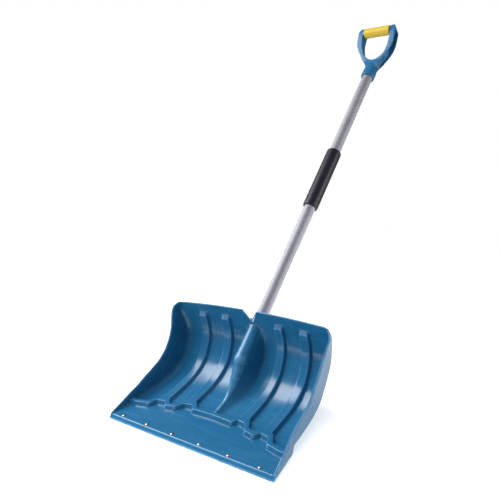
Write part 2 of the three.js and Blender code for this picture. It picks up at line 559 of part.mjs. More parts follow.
add('blade', makeBlade(), BLUE, 0.32, 0);
add('wear_plate', makePlate(), STEEL, 0.38, 1);
RIVET_X.forEach((x, i) => {
  const m = add(`lip_rivet_${i + 1}`, makeRivet(), ZINC, 0.25, 1);
  m.position.set(x, RIVET_V - V0, 0);
});
add('shaft_tube', makeShaft(), ALU, 0.35, 1);
add('foam_grip', makeFoam(), BLACK, 0.75, 0);
add('d_grip', makeGrip(), BLUE, 0.35, 0);
add('grip_sleeve', makeSleeve(), YELLOW, 0.55, 0);
add('socket_bolt', makeBolt(), ZINC, 0.3, 1);
add('socket_washer_head', makeWasher(SEAT + 0.35), ZINC, 0.35, 1);
add('socket_washer_nut', makeWasher(-SEAT - 1.75), ZINC, 0.35, 1);
add('socket_nut', makeNut(), ZINC, 0.35, 1);
add('grip_screw', makeGripScrew(), ZINC, 0.3, 1);

export default shovel;
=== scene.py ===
import math
import bpy
import bmesh
import numpy as np
from mathutils import Matrix, Vector

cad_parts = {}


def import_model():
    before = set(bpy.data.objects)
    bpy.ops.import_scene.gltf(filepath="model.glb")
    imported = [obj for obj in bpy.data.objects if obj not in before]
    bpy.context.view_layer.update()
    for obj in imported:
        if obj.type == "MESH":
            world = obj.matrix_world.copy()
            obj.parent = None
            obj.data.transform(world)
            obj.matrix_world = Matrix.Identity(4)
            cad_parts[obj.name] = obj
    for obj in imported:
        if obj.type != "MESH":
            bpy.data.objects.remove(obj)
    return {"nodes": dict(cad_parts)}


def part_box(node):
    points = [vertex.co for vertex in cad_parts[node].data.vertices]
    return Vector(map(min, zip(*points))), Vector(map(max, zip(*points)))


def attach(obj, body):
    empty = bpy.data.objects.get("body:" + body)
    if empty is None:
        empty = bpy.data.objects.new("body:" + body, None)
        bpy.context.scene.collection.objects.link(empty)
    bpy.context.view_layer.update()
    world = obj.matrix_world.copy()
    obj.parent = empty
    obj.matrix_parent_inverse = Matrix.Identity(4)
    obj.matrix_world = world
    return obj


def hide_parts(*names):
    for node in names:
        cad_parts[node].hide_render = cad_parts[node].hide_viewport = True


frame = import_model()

for leftover in ("Cube", "Light", "Camera"):
    if leftover in bpy.data.objects:
        bpy.data.objects.remove(bpy.data.objects[leftover], do_unlink=True)

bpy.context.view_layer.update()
NODES = frame["nodes"]
MM = 0.001

# ------------------------------------------------------------------ dimensions
V0, LIP_H, W0 = 36.0, 9.2, 11.0
SHELL_T, RIB_H, FLANGE, BOW = 3.5, 9.5, 5.0, 8.0
RIBS = (78.0, 148.0)
ANGLE = math.radians(38.5)
SHAFT_V, SHAFT_W = -12.0, -102.2
AXV, AXW = math.cos(ANGLE), math.sin(ANGLE)


def shaft(station):
    """places +Z along the shaft at a station, with +Y to the back, in metres"""
    m = Matrix.Rotation(ANGLE - math.pi / 2, 4, "X")
    return Matrix.Translation(Vector((0, SHAFT_V + AXV * station - V0, SHAFT_W + AXW * station + W0)) * MM) @ m


# -------------------------------------------------------------------- material
def nodes_of(name):
    m = bpy.data.materials.new(name)
    m.use_nodes = True
    nt = m.node_tree
    return m, nt, nt.nodes["Principled BSDF"]


def add(nt, kind, **props):
    n = nt.nodes.new(kind)
    for k, v in props.items():
        if k in n.inputs:
            n.inputs[k].default_value = v
        else:
            setattr(n, k, v)
    return n


def coords(nt, scale=(1, 1, 1), rot=(0, 0, 0)):
    tc = nt.nodes.new("ShaderNodeTexCoord")
    mp = nt.nodes.new("ShaderNodeMapping")
    mp.inputs["Scale"].default_value = scale
    mp.inputs["Rotation"].default_value = rot
    nt.links.new(tc.outputs["Object"], mp.inputs["Vector"])
    return mp.outputs["Vector"]


def noise(nt, vec, scale, detail=3.0, rough=0.5, dist=0.0):
    n = nt.nodes.new("ShaderNodeTexNoise")
    n.inputs["Scale"].default_value = scale
    n.inputs["Detail"].default_value = detail
    n.inputs["Roughness"].default_value = rough
    n.inputs["Distortion"].default_value = dist
    nt.links.new(vec, n.inputs["Vector"])
    return n.outputs["Fac"]


def ramp(nt, fac, stops):
    r = nt.nodes.new("ShaderNodeValToRGB")
    e = r.color_ramp.elements
    while len(e) < len(stops):
        e.new(0.5)
    for el, (p, c) in zip(e, stops):
        el.position = p
        el.color = (*c, 1) if len(c) == 3 else c
    nt.links.new(fac, r.inputs["Fac"])
    return r.outputs["Color"]


def mapr(nt, fac, a, b, lo=0.0, hi=1.0):
    m = nt.nodes.new("ShaderNodeMapRange")
    for k, v in (("From Min", lo), ("From Max", hi), ("To Min", a), ("To Max", b)):
        m.inputs[k].default_value = v
    nt.links.new(fac, m.inputs["Value"])
    return m.outputs["Result"]


def mixc(nt, fac, a, b):
    m = nt.nodes.new("ShaderNodeMix")
    m.data_type = "RGBA"
    for sock, v in ((m.inputs[0], fac), (m.inputs[6], a), (m.inputs[7], b)):
        if hasattr(v, "is_output") or isinstance(v, bpy.types.NodeSocket):
            nt.links.new(v, sock)
        else:
            sock.default_value = v if not isinstance(v, tuple) or len(v) == 4 else (*v, 1)
    return m.outputs[2]


def math_(nt, op, a, b=None):
    m = nt.nodes.new("ShaderNodeMath")
    m.operation = op
    for sock, v in ((m.inputs[0], a), (m.inputs[1], b)):
        if v is None:
            continue
        if isinstance(v, bpy.types.NodeSocket):
            nt.links.new(v, sock)
        else:
            sock.default_value = v
    return m.outputs[0]


def bump(nt, p, layers):
    prev = None
    for height, strength, dist in layers:
        b = nt.nodes.new("ShaderNodeBump")
        b.inputs["Strength"].default_value = strength
        b.inputs["Distance"].default_value = dist
        nt.links.new(height, b.inputs["Height"])
        if prev is not None:
            nt.links.new(prev, b.inputs["Normal"])
        prev = b.outputs["Normal"]
    nt.links.new(prev, p.inputs["Normal"])


def plastic(name, base, dark, light, rough, flow=True, edge_wear_and_painted_light=0.8, grain=1.0):
    """moulded plastic: slight flow marks, a fine grain, lighter convex edges that are partly rubbed wear and partly
    painted highlight, and painted shade in the hollows
    """
    m, nt, p = nodes_of(name)
    vec = coords(nt)
    big = noise(nt, vec, 7.0, 4.0, 0.55, 0.6)
    flowv = coords(nt, (6.0, 55.0, 30.0))
    streak = noise(nt, flowv, 1.6, 5.0, 0.6, 1.2)
    col = mixc(nt, mapr(nt, big, 0.0, 1.0, 0.3, 0.7), dark, base)
    if flow:
        col = mixc(nt, mapr(nt, streak, 0.0, 0.36, 0.50, 0.70), col, light)
    geo = nt.nodes.new("ShaderNodeNewGeometry")
    # painted shade: concave places (low pointiness) are coloured towards a much darker blue
    painted_hollow_shade = mapr(nt, geo.outputs["Pointiness"], 0.55 * min(1.0, edge_wear_and_painted_light * 2), 0.0, 0.40, 0.49)
    col = mixc(nt, painted_hollow_shade, col, tuple(0.35 * c for c in dark))
    # convex edges (high pointiness) made lighter: partly rubbed wear, partly painted highlight
    rubbed_and_highlit_edge = mapr(nt, geo.outputs["Pointiness"], 0.0, edge_wear_and_painted_light, 0.508, 0.55)
    rubbed_and_highlit_edge = math_(nt, "MULTIPLY", rubbed_and_highlit_edge, mapr(nt, noise(nt, vec, 60.0, 4.0), 0.55, 1.0, 0.3, 0.6))
    col = mixc(nt, rubbed_and_highlit_edge, col, tuple(min(1.0, 1.5 * c + 0.10) for c in light))
    nt.links.new(col, p.inputs["Base Color"])
    scr = noise(nt, coords(nt, (150.0, 3.0, 3.0)), 1.6, 5.0, 0.7)
    r = math_(nt, "ADD", mapr(nt, big, rough - 0.03, rough + 0.05, 0.3, 0.7), mapr(nt, scr, -0.02 * grain, 0.10 * grain, 0.42, 0.68))
    nt.links.new(r, p.inputs["Roughness"])
    p.inputs["IOR"].default_value = 1.5
    fine = noise(nt, vec, 900.0, 2.0, 0.5)
    wav = noise(nt, vec, 22.0, 2.0, 0.4)
    bump(nt, p, [(fine, 0.05 * grain, 0.0002), (wav, 0.10 * grain, 0.002), (scr, 0.006 * grain, 0.0002)])
    return m


def metal(name, base, rough, axis="shaft", aniso=0.0, spread=0.08, specks=0.25):
    m, nt, p = nodes_of(name)
    p.inputs["Metallic"].default_value = 1.0
    vec = coords(nt)
    if axis == "shaft":
        lines = coords(nt, (1500.0, 12.0, 1500.0), (-ANGLE, 0, 0))
    else:
        lines = coords(nt, (18.0, 900.0, 900.0))
    ln = noise(nt, lines, 1.0, 3.0, 0.6)
    big = noise(nt, vec, 14.0, 4.0, 0.6)
    dark = tuple(c * 0.86 for c in base)
    col = mixc(nt, mapr(nt, big, 0.0, 1.0, 0.35, 0.7), dark, base)
    spots = mapr(nt, noise(nt, vec, 260.0, 3.0, 0.7), 0.0, specks, 0.62, 0.75)
    col = mixc(nt, spots, col, tuple(c * 0.62 for c in base))
    nt.links.new(col, p.inputs["Base Color"])
    r = math_(nt, "ADD", mapr(nt, ln, rough - spread / 2, rough + spread / 2, 0.3, 0.7), mapr(nt, big, 0.0, 0.05, 0.4, 0.7))
    nt.links.new(r, p.inputs["Roughness"])
    if aniso:
        p.inputs["Anisotropic"].default_value = aniso
    bump(nt, p, [(ln, 0.01, 0.00008)])
    return m


def soft(name, base, dark, rough, pores, depth):
    m, nt, p = nodes_of(name)
    vec = coords(nt)
    v = nt.nodes.new("ShaderNodeTexVoronoi")
    v.inputs["Scale"].default_value = pores
    nt.links.new(vec, v.inputs["Vector"])
    big = noise(nt, vec, 30.0, 4.0, 0.6)
    col = mixc(nt, mapr(nt, big, 0.0, 1.0, 0.3, 0.7), dark, base)
    # painted shade: the pits of the pore pattern, where the bump sinks, are coloured darker
    col = mixc(nt, mapr(nt, v.outputs["Distance"], 0.35, 0.0, 0.0, 0.5), col, dark)
    nt.links.new(col, p.inputs["Base Color"])
    nt.links.new(mapr(nt, big, rough - 0.05, rough + 0.06, 0.3, 0.7), p.inputs["Roughness"])
    bump(nt, p, [(v.outputs["Distance"], 0.10, depth), (noise(nt, vec, 500.0, 3.0), 0.07, depth)])
    return m


BLUE = plastic("blue_blade", (0.013, 0.124, 0.265), (0.010, 0.110, 0.240), (0.036, 0.175, 0.335), 0.18)
BLUE_G = plastic("blue_grip", (0.012, 0.125, 0.275), (0.009, 0.105, 0.235), (0.026, 0.16, 0.32), 0.34, flow=False, edge_wear_and_painted_light=0.0, grain=0.35)
ALU = metal("aluminium_tube", (0.52, 0.525, 0.58), 0.72, spread=0.03, specks=0.04)
STEEL = metal("galvanised_plate", (0.74, 0.75, 0.77), 0.30, axis="x")
ZINC = metal("zinc", (0.50, 0.50, 0.51), 0.22, axis="x")
FOAM = soft("black_foam", (0.007, 0.007, 0.015), (0.003, 0.003, 0.008), 0.44, 900.0, 0.00012)
YELLOW = soft("yellow_sleeve", (0.60, 0.415, 0.028), (0.57, 0.39, 0.025), 0.40, 1400.0, 0.00003)


# ---------------------------------------------------------------------- pieces
def obj(name, verts, faces, mat, smooth=True, nodes=(), sharp=None):
    me = bpy.data.meshes.new(name)
    me.from_pydata([tuple(float(c) for c in v) for v in verts], [], [tuple(f) for f in faces])
    me.validate()
    bm = bmesh.new()
    bm.from_mesh(me)
    bmesh.ops.remove_doubles(bm, verts=bm.verts, dist=1e-6)
    bmesh.ops.recalc_face_normals(bm, faces=bm.faces)
    bm.to_mesh(me)
    bm.free()
    me.materials.append(mat)
    o = bpy.data.objects.new(name, me)
    bpy.context.scene.collection.objects.link(o)
    me.polygons.foreach_set("use_smooth", [smooth] * len(me.polygons))
    if sharp is not None:
        me.set_sharp_from_angle(angle=math.radians(sharp))
    if nodes:
        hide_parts(*nodes)
    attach(o, "root")
    return o


def lathe(profile, seg, matrix=Matrix.Identity(4)):
    """closed solid from a (radius, z) profile in mm; ends on the axis or closes"""
    verts, faces, rings = [], [], []
    for r, z in profile:
        if r < 1e-6:
            rings.append([len(verts)])
            verts.append(matrix @ (Vector((0, 0, z)) * MM))
        else:
            rings.append(list(range(len(verts), len(verts) + seg)))
            for k in range(seg):
                a = 2 * math.pi * k / seg
                verts.append(matrix @ (Vector((r * math.cos(a), r * math.sin(a), z)) * MM))
    for a, b in zip(rings, rings[1:]):
        for k in range(seg):
            j = (k + 1) % seg
            if len(a) == 1 and len(b) == 1:
                continue
            if len(a) == 1:
                faces.append((a[0], b[k], b[j]))
            elif len(b) == 1:
                faces.append((a[k], b[0], a[j]))
            else:
                faces.append((a[k], b[k], b[j], a[j]))
    return verts, faces


def rounded(profile, radius, steps=4):
    """rounds the corners of a profile; radius is one number or one per corner"""
    out = []
    n = len(profile)
    for i, p in enumerate(profile):
        rr = radius[i] if isinstance(radius, (list, tuple)) else radius
        if i in (0, n - 1) or rr <= 0:
            out.append(p)
            continue
        a, b, c = np.array(profile[i - 1], float), np.array(p, float), np.array(profile[i + 1], float)
        u, w = a - b, c - b
        lu, lw = np.linalg.norm(u), np.linalg.norm(w)
        d = min(rr, 0.45 * lu, 0.45 * lw)
        p0, p2 = b + u / lu * d, b + w / lw * d
        for k in range(steps + 1):
            t = k / steps
            out.append(tuple((1 - t) ** 2 * p0 + 2 * t * (1 - t) * b + t * t * p2))
    return out


# ----------------------------------------------------------------- blade shape
PROFILE = np.array([
    [0, 0, 0, 2, 232, 229], [40, 0, 36, 16.5, 227.5, 223], [80, 0, 65, 29, 223.5, 217],
    [95, 0.2, 75, 32.5, 222, 215.5], [110, 1.2, 84, 36.5, 221.2, 214.5], [131, 4, 97, 42, 220.5, 213],
    [155, 7.6, 112, 47.5, 220.4, 211], [176, 11.6, 126, 52.5, 220.3, 209.5], [193, 16.4, 140, 58, 219.8, 208.5],
    [211.5, 23.5, 154, 64, 219, 207.5], [227, 32, 167, 73, 218, 207], [240, 42, 178, 82, 217.4, 206],
    [251, 53.5, 187, 91, 217.4, 206.5], [260, 66.5, 196, 101, 217.8, 207.5], [268.5, 81, 204, 111, 218.8, 209],
    [274, 96.5, 211, 121.5, 219.8, 211], [276.6, 112, 217, 131, 221.5, 213], [276.6, 127, 221.5, 140, 223, 215],
    [274.6, 144, 227, 153, 225.6, 218], [270.3, 165.5, 236, 167, 228.6, 220], [267.6, 176, 241.5, 176, 227, 217],
    [264, 188, 251.5, 184.2, 217, 207.5]], float)


def pchip(xs, ys, x):
    xs, ys = np.asarray(xs, float), np.asarray(ys, float)
    h = np.diff(xs)
    d = np.diff(ys) / h
    m = np.zeros(len(xs))
    m[0], m[-1] = d[0], d[-1]
    for i in range(1, len(xs) - 1):
        if d[i - 1] * d[i] > 0:
            w0, w1 = 2 * h[i] + h[i - 1], h[i] + 2 * h[i - 1]
            m[i] = (w0 + w1) / (w0 / d[i - 1] + w1 / d[i])
    x = np.asarray(x, float)
    i = np.clip(np.searchsorted(xs, x) - 1, 0, len(xs) - 2)
    t = (x - xs[i]) / h[i]
    tc = np.clip(t, 0, 1)
    y = ys[i] * (2 * tc**3 - 3 * tc**2 + 1) + m[i] * h[i] * (tc**3 - 2 * tc**2 + tc) + ys[i + 1] * (-2 * tc**3 + 3 * tc**2) + m[i + 1] * h[i] * (tc**3 - tc**2)
    return y + np.where(t < 0, m[0] * (x - xs[0]), 0) + np.where(t > 1, m[-1] * (x - xs[-1]), 0)


S = np.concatenate([[0], np.cumsum(np.hypot(np.diff(PROFILE[:, 0]), np.diff(PROFILE[:, 1])))])
S_TOP = S[-1]
SG = np.linspace(-2, S_TOP + 4, 3000)
TAB = [pchip(S, PROFILE[:, k], SG) for k in range(6)]
# light smoothing of the section, so that the gloss runs evenly over it
KER = np.exp(-0.5 * (np.arange(-60, 61) / 24.0) ** 2)
KER /= KER.sum()


def smoothed(y):
    n = 60
    left = y[0] + (y[0] - y[1:n + 1][::-1])
    right = y[-1] + (y[-1] - y[-n - 1:-1][::-1])
    return np.convolve(np.concatenate([left, y, right]), KER, "valid")


TAB = [smoothed(y) for y in TAB]
NV = np.gradient(TAB[0], SG)
NW = np.gradient(TAB[1], SG)
NL = np.hypot(NV, NW)
NV, NW = -NW / NL, NV / NL


def look(k, s):
    return np.interp(s, SG, TAB[k])


def smooth(a, b, x):
    t = np.clip((x - a) / (b - a), 0, 1)
    return t * t * (3 - 2 * t)


def panel(s, x):
    q = (x / 205.0) ** 2
    return look(0, s) - BOW * q * smooth(150, 290, s), look(1, s) - 4 * q * smooth(S_TOP - 60, S_TOP, s)


def normal(s):
    return np.interp(s, SG, NV), np.interp(s, SG, NW)


FT = ([0, 56, 67, 87, 101, 127, 139, 160, 171, 222], [92.7, 89.8, 102.4, 98.8, 78.7, 73, 86, 81.8, 62, 50.5])
FF = (FT[0], [87.5, 84.5, 97.2, 94, 73.5, 68.5, 80.8, 77, 57, 45.7])
BT = ([0, 50, 64, 92, 105, 123, 135, 163, 180, 222], [102.7, 100.5, 115.5, 112, 89.5, 84.5, 99, 95.5, 70.5, 59.5])
BF = (BT[0], [106.7, 104.5, 119.5, 116, 93.5, 88.5, 103, 99.5, 74.5, 63.5])


def soft_ramp(p, k=0.09):
    g = lambda q: 0.5 * (np.sqrt(q * q + k * k) + q)
    return g(p) - g(p - 1)


def s_of_w(w):
    i = np.searchsorted(SG, 150)
    return float(np.interp(w, TAB[1][i:], SG[i:]))


E0, E1, S_NOTCH = s_of_w(156), s_of_w(165), s_of_w(156)
NOTCH_X = 21.0


def top_limit(x):
    t = np.clip((np.abs(x) - 4) / (NOTCH_X - 4), 0, 1)
    t = np.clip(t + 0.03 * np.sin(2 * math.pi * t), 0, 1)
    return S_NOTCH + (S_TOP - S_NOTCH) * t


CREST = np.array([
    [110, 9.5, 108, 6], [131, 12.5, 121.5, 7], [155, 19, 141.5, 8], [176, 26, 153.5, 9.5], [193, 35.5, 163, 11],
    [211.5, 45.5, 172, 13], [227, 56.5, 180, 15], [240, 67.5, 187, 17], [251, 79, 194, 18.4], [260, 93.1, 200.6, 19],
    [268.5, 103, 213, 19], [274, 113.3, 226, 19], [276.6, 124.4, 240, 19], [276.7, 135.6, 254, 19], [274.6, 145.9, 267, 19], [273.6, 152, 274.6, 19]])
PANEL_W = {9: 66.5, 10: 81, 11: 96.5, 12: 112, 13: 127, 14: 144, 15: 150.5}
CS = []
for i, r in enumerate(CREST):
    if i in PANEL_W:
        CS.append(s_of_w(PANEL_W[i]))
    else:
        CS.append(float(np.interp(r[0], TAB[0][:2300], SG[:2300])))
HUMP_LO, HUMP_HI = CS[0], CS[-1]
X_END = 36.0


def hump_rows(s, m, back):
    """for one station: positions (x, f) along the section at fractions m of its length"""
    pv, pw = float(look(0, s)), float(look(1, s))
    nv, nw = (float(c) for c in normal(s))
    ss = min(max(s, HUMP_LO), HUMP_HI)
    cv, cw = float(pchip(CS, CREST[:, 2], ss)), float(pchip(CS, CREST[:, 1], ss))
    R = float(pchip(CS, CREST[:, 3], ss))
    dv, dw = cv - float(look(0, ss)), cw - float(look(1, ss))
    f0 = max(dv * float(normal(ss)[0]) + dw * float(normal(ss)[1]), 0.0)
    length = math.hypot(dv, dw)
    if f0 < 0.2:
        length = 0.0
    direction = np.array([dv + 3 * nv, dw + 3 * nw])
    direction /= np.linalg.norm(direction)
    if s < HUMP_LO:
        length *= float(smooth(HUMP_LO - 14, HUMP_LO - 4, s))
    if s > HUMP_HI:
        length *= float(1 - smooth(HUMP_HI, HUMP_HI + 5, s))
    foot = float(np.interp(s, [100, HUMP_LO, 130, 165, 230, 290, 340, 372], [9, 12, 18, 25, 30, 30, 26, 22]))
    if back:
        R -= 3.2
        foot -= 3.0
    k = abs(direction[0] * -AXW + direction[1] * AXV)
    depth = R * (0.80 if R < 15 else 1.0) / max(k, 0.35)
    xs = np.linspace(0, X_END, 900)
    arc = length - depth * (1 - np.sqrt(np.clip(1 - (xs / R) ** 2, 0, 1)))
    th = math.radians(66)
    xe = R * math.sin(th)
    fe = length - depth * (1 - math.cos(th))
    foot = max(foot, xe + 1.5)
    flank = fe * np.clip((foot - xs) / (foot - xe), -9, 1) if fe > 0 else fe - (xs - xe)
    body = np.where(xs < xe, arc, flank)
    body = np.maximum(body, -3.0) if length > 0.5 else body * 0
    # rounded meeting with the panel
    k2 = 5.0 if not back else 3.0
    f = 0.5 * (body + np.sqrt(body * body + k2 * k2)) - 0.0
    f = f - 0.5 * (-3.0 + math.sqrt(9 + k2 * k2)) if length > 0.5 else body * 0
    f = np.maximum(f, 0) * (1 - smooth(X_END - 5, X_END, xs))
    if length > 0.5:
        f *= length / max(f[0], 1e-3) if f[0] > 0 else 0
    L = np.concatenate([[0], np.cumsum(np.hypot(np.diff(xs), np.diff(f)))])
    at = m * L[-1]
    return np.interp(at, L, xs), np.interp(at, L, f), direction


# columns of half the blade
def spread(points, gap):
    pts = sorted(set(round(p, 3) for p in points))
    out = [pts[0]]
    for p in pts[1:]:
        if p - out[-1] < 0.45:
            continue
        n = int(math.ceil((p - out[-1]) / gap))
        out += [out[-1] + (p - out[-1]) * (k + 1) / n for k in range(n)]
    return out


M_FR = np.array([0, .05, .1, .15, .2, .25, .3, .35, .4, .45, .5, .56, .62, .67, .72, .77, .82, .87, .91, .95, 1.0])
edges = []
for c in RIBS:
    for d in (16, 15, 14.3, 13.7, 13.1, 12.2, 11.2, 10.4, 9.8, 9.2, 8.2, 6.5, 0):
        edges += [c - d, c + d]
XS = [x for x in spread([X_END, 50, 56, 60, 101, 105, 110, 120, 123, 127, 171, 176, 180, 184] + edges, 5.5) if x > X_END]
WALL = [0, .06, .12, .18, .24, .3, .36, .42, .5, .6, .7, .8, .9, .96, 1.0]
RIM = [0.35, 0.7, 1.0]
N_A = 4

rows = [("lip", k) for k in (0, .25, .5, .75)]
rows += [("abs", s) for s in (0.0, 0.7, 1.6, 3, 5, 8, 12, 17, 22, 28, 34, 39)]
rows += [("pre", t) for t in (0.35, 0.7, 1.0)]
RP = (-0.30, -0.15, -0.03, 0.08, 0.2, 0.5, 0.8, 0.92, 1.03, 1.15, 1.3)
rows += [("ff", p) for p in RP]
rows += [("mid", 0.5)]
rows += [("bt", p) for p in RP]
rows += [("f", t) for t in np.linspace(0, 1, 56)[1:-1]]
rows += [("re", p) for p in (-0.2, -0.08, 0.03, 0.15, 0.5, 0.85, 0.97, 1.08, 1.2)]
rows += [("up", t) for t in (0.3, 0.55, 0.8, 0.93, 1.0)]


def station(row, a, limit):
    kind, q = row
    ff, ft, bt, bf = (np.interp(a, *t) for t in (FF, FT, BT, BF))
    e0, e1 = np.minimum(E0, limit - 13), np.minimum(E1, limit - 6)
    if kind == "lip":
        return -1.0 + 0 * a
    if kind == "abs":
        return q + 0 * a
    if kind == "pre":
        return 39 + (ff - 0.45 * (ft - ff) - 39) * q
    if kind == "ff":
        return ff + (ft - ff) * q
    if kind == "mid":
        return (ft + bt) / 2
    if kind == "bt":
        return bt + (bf - bt) * q
    if kind == "f":
        lo = bt + (bf - bt) * 1.45
        hi = e0 - 0.35 * (e1 - e0)
        return lo + (hi - lo) * q
    if kind == "re":
        return e0 + (e1 - e0) * q
    hi = e1 + 0.3 * (e1 - e0)
    return hi + (limit - SHELL_T / 2 - hi) * q


def network(s, x, a, inset):
    """height of the ledge and ribs over the panel"""
    ff, ft, bt, bf = (np.interp(a, *t) for t in (FF, FT, BT, BF))
    ff, ft, bt, bf = ff + inset, ft + inset, bt - inset, bf - inset
    ledge = RIB_H * np.minimum(soft_ramp((s - ff) / (ft - ff)), soft_ramp((bf - s) / (bf - bt)))
    rib = 0.0
    for c in RIBS:
        d = np.abs(x - c)
        rib = np.maximum(rib, soft_ramp((14 - inset - d) / 4.0, 0.16))
    limit = top_limit(x)
    e0, e1 = np.minimum(E0, limit - 13), np.minimum(E1, limit - 6)
    rib = RIB_H * rib * soft_ramp((e1 - inset - s) / (e1 - e0)) * (s > (ft + bt) / 2)
    return np.maximum(ledge, rib)


def blade_grid(back):
    t = SHELL_T if back else 0.0
    inset = 2.2 if back else 0.0
    G = []
    for row in rows:
        line = []
        # centre hump
        a0 = X_END * M_FR
        lim = top_limit(a0)
        s_c = station(row, a0, lim)
        for j, m in enumerate(M_FR):
            s = float(s_c[j])
            if row[0] == "lip":
                line.append(lip_point(float(a0[j]), row[1], back))
                continue
            xx, f, c = hump_rows(s, np.array([m]), back)
            xx, f = float(xx[0]), float(f[0])
            # near the lip and above the hump the columns stand at fixed places
            w_fix = float(max(1 - smooth(92, 108, s), smooth(HUMP_HI - 6, HUMP_HI + 2, s)))
            xx = xx * (1 - w_fix) + float(a0[j]) * w_fix
            pv, pw = (float(q) for q in panel(s, xx))
            nv, nw = (float(q) for q in normal(s))
            h = float(network(s, np.array(xx), np.array(min(xx, 36.0)), inset))
            hump_n = f * (c[0] * nv + c[1] * nw)
            if h > hump_n:
                v, w = pv + nv * h, pw + nw * h
            else:
                v, w = pv + c[0] * f, pw + c[1] * f
            if back:
                extra = t if f < 2 else t - 0.4
                v, w = v - nv * extra, w - nw * extra
                kz = float(smooth(79, 93, s))
                w = -LIP_H + (w + LIP_H) * kz
                v = pv + (v - pv) * kz
            line.append((xx, v, w))
        # panel
        xs = np.array(XS)
        lim = top_limit(xs)
        ss = station(row, xs, lim)
        for j, x in enumerate(xs):
            s = float(ss[j])
            if row[0] == "lip":
                line.append(lip_point(float(x), row[1], back))
                continue
            pv, pw = (float(q) for q in panel(s, x))
            nv, nw = (float(q) for q in normal(s))
            h = float(network(s, x, x, inset)) - t
            v, w = pv + nv * h, pw + nw * h
            if back:
                kz = float(smooth(79, 93, s))
                w = -LIP_H + (w + LIP_H) * kz
                v = pv + (v - pv) * kz
            line.append((float(x), v, w))
        # side wall
        aw = 205.0
        s = float(station(row, np.array(aw), np.array(S_TOP)))
        if row[0] == "lip":
            x0 = XS[-1]
            ends = list(np.linspace(x0, float(look(5, 0)) - 14, N_A + 1)[1:])
            span = np.linspace(ends[-1], 233.0, len(WALL) + len(RIM) + 1)[1:]
            for x in ends + list(span) + [233.0]:
                line.append(lip_point(float(x), row[1], back))
            G.append(line[:])
            continue
        fx, rx, rv, rw = (float(look(k, s)) for k in (5, 4, 2, 3))
        rx -= FLANGE / 2
        pv, pw = (float(q) for q in panel(s, fx))
        H = math.dist((rx, rv, rw), (fx, pv, pw))
        rf = min(13.0, 0.32 * H)
        d = np.array([rx - fx, rv - pv, rw - pw]) / H
        nv, nw = (float(q) for q in normal(s))
        n3 = np.array([0, nv, nw])
        xa = fx - rf
        A = np.array([xa, *[float(q) for q in panel(s, xa)]])
        F = np.array([fx, pv, pw])
        C = F + d * rf
        E = np.array([rx, rv, rw])
        kz = float(smooth(79, 93, s))
        for k in range(N_A):
            x = XS[-1] + (xa - XS[-1]) * (k + 1) / (N_A + 1)
            s2 = float(station(row, np.array(min(x, aw)), np.array(S_TOP)))
            qv, qw = (float(q) for q in panel(s2, x))
            n2 = [float(q) for q in normal(s2)]
            h = float(network(s2, x, min(x, aw), inset)) - t
            v, w = qv + n2[0] * h, qw + n2[1] * h
            if back:
                k2 = float(smooth(79, 93, s2))
                w = -LIP_H + (w + LIP_H) * k2
                v = qv + (v - qv) * k2
            line.append((x, v, w))
        hl = float(network(s, aw, aw, inset))
        out_dir = np.array([1.0, 0, 0])
        for q in WALL + [("rim", r) for r in RIM]:
            rim = isinstance(q, tuple)
            qq = 1.0 if rim else q
            if qq <= 0.3:
                k = qq / 0.3
                p = (1 - k) ** 2 * A + 2 * k * (1 - k) * F + k * k * C
                tau = 0.4 * k
            else:
                k = (qq - 0.3) / 0.7
                p = C + (E - C) * k
                tau = 0.4 + 0.6 * k
            p = p.copy()
            if rim:
                p = E + np.array([FLANGE * q[1], 0, -0.6 * q[1] + 0.0])
                if q[1] >= 1:
                    p[0] -= SHELL_T * 0.35
            if not back:
                p = p + n3 * hl * float(1 - smooth(0.05, 0.45, qq)) * (0 if rim else 1)
                if not rim and qq > 0.85:       # rounded inner edge of the rim
                    r = (qq - 0.85) / 0.15
                    p = p - d * 0.0 + out_dir * 0.9 * r * r
                line.append(tuple(p))
                continue
            on = min(1.0, tau / 0.4)
            b = p + out_dir * SHELL_T * on - n3 * t * (1 - 0.55 * on)
            if rim:
                b = p - d * t + out_dir * (0.4 if q[1] < 1 else 0.4)
                if q[1] < 1:
                    b = b + out_dir * (SHELL_T - 0.4) * (1 - q[1])
            elif qq > 0.9:
                b = b - d * (t + 0.4) * (qq - 0.9) / 0.1
            low = -LIP_H + (b[2] + LIP_H) * tau * tau
            b[2] = low + (b[2] - low) * kz
            if kz < 1:
                b1 = p[1] + (b[1] - p[1]) * tau
                b[1] = b1 + (b[1] - b1) * kz
            line.append(tuple(b))
        # last column: outer edge of the flange, kept for the closing strip
        line.append(line[-1])
        G.append(line)
    return np.array(G)


def lip_point(x, q, back):
    """the bevelled lip: q = 0 at its bottom edge, 1 at the ridge"""
    v0, w0 = (-6.2, -LIP_H) if back else (-7.6, -LIP_H + 0.8)
    if back:
        return (x, v0 + (0.0 - v0) * q, -LIP_H)
    return (x, v0 * (1 - q), w0 * (1 - q))


